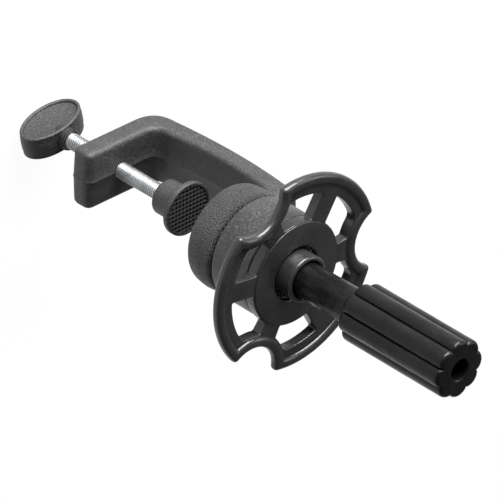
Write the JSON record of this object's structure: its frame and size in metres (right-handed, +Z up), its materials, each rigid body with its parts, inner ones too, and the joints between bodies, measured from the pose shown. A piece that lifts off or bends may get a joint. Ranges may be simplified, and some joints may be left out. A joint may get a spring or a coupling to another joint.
{
  "type": "table clamp holder",
  "caption": "C-shaped table clamp with a thumb screw, swivelling ball housing, scalloped locking wheel and a ribbed holder post.",
  "frame": {"origin": "on the axis of the screw and post, in the plane of the fixed jaw under the round boss", "axes": "+Z up along the post, as clamped to a table top; the throat opens towards +X and the spine stands at -X"},
  "size_m": [0.0751, 0.0766, 0.2171],
  "materials": {
    "frame_plastic": "fine grained satin black moulding",
    "gloss_plastic": "polished black moulding with fine scratches",
    "zinc_steel": "bright zinc plate",
    "brass": "turned",
    "rubber": "cross-hatched black rubber",
    "seat_plastic": "natural white nylon"
  },
  "bodies": {
    "clamp": {"clamp_frame": "frame_plastic", "arm_insert": "brass", "pivot_nut": "zinc_steel", "pivot_screw": "zinc_steel", "spring_washer": "zinc_steel", "friction_ring": "rubber"},
    "swivel": {"swivel_housing": "frame_plastic", "ball_seat": "seat_plastic"},
    "ring": {"pressure_ring": "seat_plastic"},
    "wheel": {"lock_wheel": "gloss_plastic"},
    "ball": {"ball_sleeve": "gloss_plastic"},
    "post": {"post": "gloss_plastic", "post_screw": "zinc_steel", "ribbed_plug": "gloss_plastic", "plug_screw": "zinc_steel"},
    "tip": {"tip_ball": "zinc_steel"},
    "screw": {"threaded_rod": "zinc_steel", "thumb_knob": "frame_plastic", "knob_ferrule": "gloss_plastic"},
    "foot": {"foot_cup": "frame_plastic", "foot_pad": "rubber", "foot_retainer": "zinc_steel"}
  },
  "joints": [
    {"name": "housing_swivel", "type": "hinge", "parent": "clamp", "child": "swivel", "pos_m": [0, 0, 0.0138], "axis": [0, 0, 1], "continuous": true},
    {"name": "ring_lift", "type": "slide", "parent": "swivel", "child": "ring", "axis": [0, 0, 1], "range_m": [0, 0.00125]},
    {"name": "wheel_turn", "type": "hinge", "parent": "ring", "child": "wheel", "pos_m": [0, 0, 0.0349], "axis": [0, 0, 1], "range_deg": [0, 180]},
    {"name": "ball_tilt", "type": "hinge", "parent": "swivel", "child": "ball", "pos_m": [0, 0, 0.0306], "axis": [0, 1, 0], "range_deg": [-5, 5]},
    {"name": "post_turn", "type": "hinge", "parent": "ball", "child": "post", "pos_m": [0, 0, 0.0348], "axis": [0, 0, 1], "continuous": true},
    {"name": "screw_travel", "type": "slide", "parent": "clamp", "child": "tip", "axis": [0, 0, 1], "range_m": [-0.02, 0.015]},
    {"name": "screw_turn", "type": "hinge", "parent": "tip", "child": "screw", "pos_m": [0, 0, -0.024], "axis": [0, 0, 1], "range_deg": [-7200, 5400]},
    {"name": "foot_tilt", "type": "hinge", "parent": "tip", "child": "foot", "pos_m": [0, 0, -0.024], "axis": [0, 1, 0], "range_deg": [-8, 8]}
  ],
  "couplings": [
    {"joint": "ring_lift", "follows": "wheel_turn", "m_per_rad": 0.00039789},
    {"joint": "screw_turn", "follows": "screw_travel", "rad_per_m": 6283.2}
  ]
}
